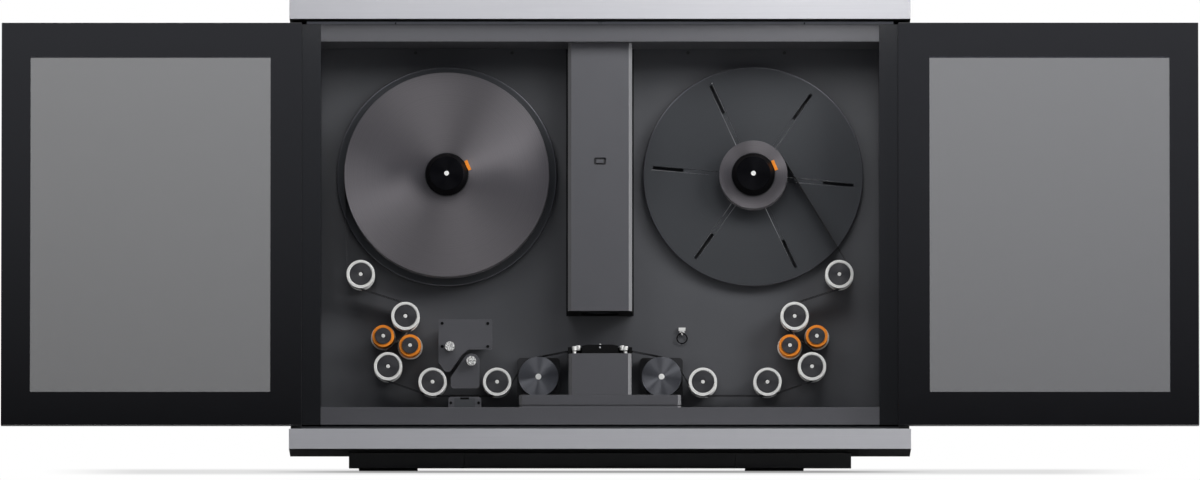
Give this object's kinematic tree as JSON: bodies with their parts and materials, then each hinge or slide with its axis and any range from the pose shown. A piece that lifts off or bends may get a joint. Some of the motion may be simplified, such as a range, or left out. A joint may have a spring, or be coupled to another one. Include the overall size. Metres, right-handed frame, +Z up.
{
  "type": "motion picture film scanner",
  "caption": "Slim film scanner: reel platters, film rollers, lit gate and camera column in a metal cabinet with sliding glass doors on a low stand.",
  "frame": {"origin": "middle of the overall footprint, with both doors slid open, on the floor", "axes": "+Z up, -Y towards the viewer and the glass doors, +X to the viewer's right along the width"},
  "size_m": [2.0456, 0.265, 0.8032],
  "materials": {
    "satin_aluminium": "satin anodised",
    "black_paint": "matte black powder coat",
    "grey_paint": "fine-textured grey powder coat",
    "rail_steel": "zinc-plated",
    "bright_steel": "polished",
    "rubber_pad": "matte",
    "motor_black": "matte black",
    "black_plastic": "fine texture",
    "board_green": "solder mask",
    "door_glass": "smoked, with a black printed border",
    "turned_black": "turned and black anodised",
    "platter_grey": "turned, dark anodised",
    "film_brown": "wound film edges",
    "film_strip": "processed film",
    "core_black": "moulded",
    "orange_plastic": "moulded",
    "orange_rubber": "soft polyurethane"
  },
  "bodies": {
    "cabinet": {"top_bar": "satin_aluminium", "bottom_bar": "satin_aluminium", "side_walls": "black_paint", "deck_plate": "grey_paint", "front_fascias": "grey_paint", "rear_cover": "black_paint", "stand_frame": "black_paint", "stand_pads": "rubber_pad", "door_rails": "rail_steel", "roller_studs": "turned_black", "front_fasteners": "bright_steel", "drive_motors": "motor_black", "camera_column": "grey_paint", "camera_module": "black_plastic", "light_housing": "grey_paint", "light_base": "grey_paint", "led_board": "turned_black", "film_gate": "black_plastic", "reader_plate": "grey_paint", "connector_panel": "grey_paint", "film_strip": "film_strip", "main_board": "board_green", "power_supply": "satin_aluminium"},
    "left_door": {"left_door_glass": "door_glass", "left_door_frame": "black_paint"},
    "left_slide_middle": {"left_slide_middle": "rail_steel"},
    "left_reel": {"left_platter": "platter_grey", "left_hub": "turned_black", "left_core": "core_black", "left_film_roll": "film_brown"},
    "left_lock_tab": {"left_lock_tab": "orange_plastic"},
    "right_door": {"right_door_glass": "door_glass", "right_door_frame": "black_paint"},
    "right_slide_middle": {"right_slide_middle": "rail_steel"},
    "right_reel": {"right_platter": "platter_grey", "right_hub": "turned_black", "right_core": "core_black", "right_film_roll": "film_brown"},
    "right_lock_tab": {"right_lock_tab": "orange_plastic"},
    "left_guide_roller_1": {"left_guide_roller_1": "satin_aluminium"},
    "left_guide_roller_2": {"left_guide_roller_2": "satin_aluminium"},
    "left_guide_roller_3": {"left_guide_roller_3": "satin_aluminium"},
    "left_guide_roller_4": {"left_guide_roller_4": "satin_aluminium"},
    "left_guide_roller_5": {"left_guide_roller_5": "satin_aluminium"},
    "left_transfer_roller_1": {"left_transfer_roller_1": "orange_rubber"},
    "left_transfer_roller_2": {"left_transfer_roller_2": "orange_rubber"},
    "left_capstan": {"left_capstan": "platter_grey"},
    "right_guide_roller_1": {"right_guide_roller_1": "satin_aluminium"},
    "right_guide_roller_2": {"right_guide_roller_2": "satin_aluminium"},
    "right_guide_roller_3": {"right_guide_roller_3": "satin_aluminium"},
    "right_guide_roller_4": {"right_guide_roller_4": "satin_aluminium"},
    "right_guide_roller_5": {"right_guide_roller_5": "satin_aluminium"},
    "right_transfer_roller_1": {"right_transfer_roller_1": "orange_rubber"},
    "right_transfer_roller_2": {"right_transfer_roller_2": "orange_rubber"},
    "right_capstan": {"right_capstan": "platter_grey"},
    "column_button": {"column_button": "black_plastic"},
    "reader_arm": {"reader_arm": "grey_paint"},
    "reader_knob_upper": {"reader_knob_upper": "bright_steel"},
    "reader_knob_lower": {"reader_knob_lower": "bright_steel"},
    "hanging_ring": {"hanging_ring": "black_plastic"}
  },
  "joints": [
    {"name": "left_door_slide", "type": "slide", "parent": "cabinet", "child": "left_door", "axis": [1, 0, 0], "range_m": [0, 0.5093]},
    {"name": "left_rail_slide", "type": "slide", "parent": "cabinet", "child": "left_slide_middle", "axis": [1, 0, 0], "range_m": [0, 0.25465]},
    {"name": "left_reel_spin", "type": "hinge", "parent": "cabinet", "child": "left_reel", "pos_m": [-0.2627, -0.0175, 0.5109], "axis": [0, -1, 0], "continuous": true},
    {"name": "left_tab_slide", "type": "slide", "parent": "left_reel", "child": "left_lock_tab", "axis": [0.9171, 0, 0.3987], "range_m": [0, 0.004]},
    {"name": "right_door_slide", "type": "slide", "parent": "cabinet", "child": "right_door", "axis": [-1, 0, 0], "range_m": [0, 0.5093]},
    {"name": "right_rail_slide", "type": "slide", "parent": "cabinet", "child": "right_slide_middle", "axis": [-1, 0, 0], "range_m": [0, 0.25465]},
    {"name": "right_reel_spin", "type": "hinge", "parent": "cabinet", "child": "right_reel", "pos_m": [0.2627, -0.0175, 0.5109], "axis": [0, -1, 0], "continuous": true},
    {"name": "right_tab_slide", "type": "slide", "parent": "right_reel", "child": "right_lock_tab", "axis": [0.9171, 0, 0.3987], "range_m": [0, 0.004]},
    {"name": "left_guide_roller_1_spin", "type": "hinge", "parent": "cabinet", "child": "left_guide_roller_1", "pos_m": [-0.40987, -0.0175, 0.33919], "axis": [0, -1, 0], "continuous": true},
    {"name": "left_guide_roller_2_spin", "type": "hinge", "parent": "cabinet", "child": "left_guide_roller_2", "pos_m": [-0.3332, -0.0175, 0.2672], "axis": [0, -1, 0], "continuous": true},
    {"name": "left_guide_roller_3_spin", "type": "hinge", "parent": "cabinet", "child": "left_guide_roller_3", "pos_m": [-0.3628, -0.0175, 0.1807], "axis": [0, -1, 0], "continuous": true},
    {"name": "left_guide_roller_4_spin", "type": "hinge", "parent": "cabinet", "child": "left_guide_roller_4", "pos_m": [-0.2866, -0.0175, 0.1541], "axis": [0, -1, 0], "continuous": true},
    {"name": "left_guide_roller_5_spin", "type": "hinge", "parent": "cabinet", "child": "left_guide_roller_5", "pos_m": [-0.1761, -0.0175, 0.1541], "axis": [0, -1, 0], "continuous": true},
    {"name": "left_transfer_roller_1_spin", "type": "hinge", "parent": "cabinet", "child": "left_transfer_roller_1", "pos_m": [-0.37124, -0.0175, 0.23338], "axis": [0, -1, 0], "continuous": true},
    {"name": "left_transfer_roller_2_spin", "type": "hinge", "parent": "cabinet", "child": "left_transfer_roller_2", "pos_m": [-0.32517, -0.0175, 0.2173], "axis": [0, -1, 0], "continuous": true},
    {"name": "left_capstan_spin", "type": "hinge", "parent": "cabinet", "child": "left_capstan", "pos_m": [-0.1054, -0.0175, 0.163], "axis": [0, -1, 0], "continuous": true},
    {"name": "right_guide_roller_1_spin", "type": "hinge", "parent": "cabinet", "child": "right_guide_roller_1", "pos_m": [0.40987, -0.0175, 0.33919], "axis": [0, -1, 0], "continuous": true},
    {"name": "right_guide_roller_2_spin", "type": "hinge", "parent": "cabinet", "child": "right_guide_roller_2", "pos_m": [0.3332, -0.0175, 0.2672], "axis": [0, -1, 0], "continuous": true},
    {"name": "right_guide_roller_3_spin", "type": "hinge", "parent": "cabinet", "child": "right_guide_roller_3", "pos_m": [0.3628, -0.0175, 0.1807], "axis": [0, -1, 0], "continuous": true},
    {"name": "right_guide_roller_4_spin", "type": "hinge", "parent": "cabinet", "child": "right_guide_roller_4", "pos_m": [0.2866, -0.0175, 0.1541], "axis": [0, -1, 0], "continuous": true},
    {"name": "right_guide_roller_5_spin", "type": "hinge", "parent": "cabinet", "child": "right_guide_roller_5", "pos_m": [0.1761, -0.0175, 0.1541], "axis": [0, -1, 0], "continuous": true},
    {"name": "right_transfer_roller_1_spin", "type": "hinge", "parent": "cabinet", "child": "right_transfer_roller_1", "pos_m": [0.37124, -0.0175, 0.23338], "axis": [0, -1, 0], "continuous": true},
    {"name": "right_transfer_roller_2_spin", "type": "hinge", "parent": "cabinet", "child": "right_transfer_roller_2", "pos_m": [0.32517, -0.0175, 0.2173], "axis": [0, -1, 0], "continuous": true},
    {"name": "right_capstan_spin", "type": "hinge", "parent": "cabinet", "child": "right_capstan", "pos_m": [0.1054, -0.0175, 0.163], "axis": [0, -1, 0], "continuous": true},
    {"name": "button_press", "type": "slide", "parent": "cabinet", "child": "column_button", "axis": [0, 1, 0], "range_m": [0, 0.0015], "stiffness_N_per_m": 900, "springref_m": -0.001},
    {"name": "reader_arm_slide", "type": "slide", "parent": "cabinet", "child": "reader_arm", "axis": [0, 0, -1], "range_m": [0, 0.008]},
    {"name": "reader_knob_upper_turn", "type": "hinge", "parent": "cabinet", "child": "reader_knob_upper", "pos_m": [-0.2569, -0.0475, 0.2138], "axis": [0, -1, 0], "range_deg": [0, 360]},
    {"name": "reader_knob_lower_turn", "type": "hinge", "parent": "reader_arm", "child": "reader_knob_lower", "pos_m": [-0.2202, -0.0475, 0.1887], "axis": [0, -1, 0], "range_deg": [0, 360]},
    {"name": "ring_swing", "type": "hinge", "parent": "cabinet", "child": "hanging_ring", "pos_m": [0.1406, 0.014, 0.2418], "axis": [-1, 0, 0], "range_deg": [-8, 90]}
  ],
  "couplings": [
    {"joint": "left_rail_slide", "follows": "left_door_slide", "ratio": 0.5},
    {"joint": "right_rail_slide", "follows": "right_door_slide", "ratio": 0.5},
    {"joint": "right_reel_spin", "follows": "left_reel_spin", "ratio": 3.0017},
    {"joint": "left_guide_roller_1_spin", "follows": "left_reel_spin", "ratio": 7.9818},
    {"joint": "left_guide_roller_2_spin", "follows": "left_reel_spin", "ratio": -7.9818},
    {"joint": "left_guide_roller_3_spin", "follows": "left_reel_spin", "ratio": 7.9818},
    {"joint": "left_guide_roller_4_spin", "follows": "left_reel_spin", "ratio": 7.9818},
    {"joint": "left_guide_roller_5_spin", "follows": "left_reel_spin", "ratio": 7.9818},
    {"joint": "left_capstan_spin", "follows": "left_reel_spin", "ratio": -5.1496},
    {"joint": "right_guide_roller_1_spin", "follows": "left_reel_spin", "ratio": 7.9818},
    {"joint": "right_guide_roller_2_spin", "follows": "left_reel_spin", "ratio": -7.9818},
    {"joint": "right_guide_roller_3_spin", "follows": "left_reel_spin", "ratio": 7.9818},
    {"joint": "right_guide_roller_4_spin", "follows": "left_reel_spin", "ratio": 7.9818},
    {"joint": "right_guide_roller_5_spin", "follows": "left_reel_spin", "ratio": 7.9818},
    {"joint": "right_capstan_spin", "follows": "left_reel_spin", "ratio": -5.1496}
  ]
}
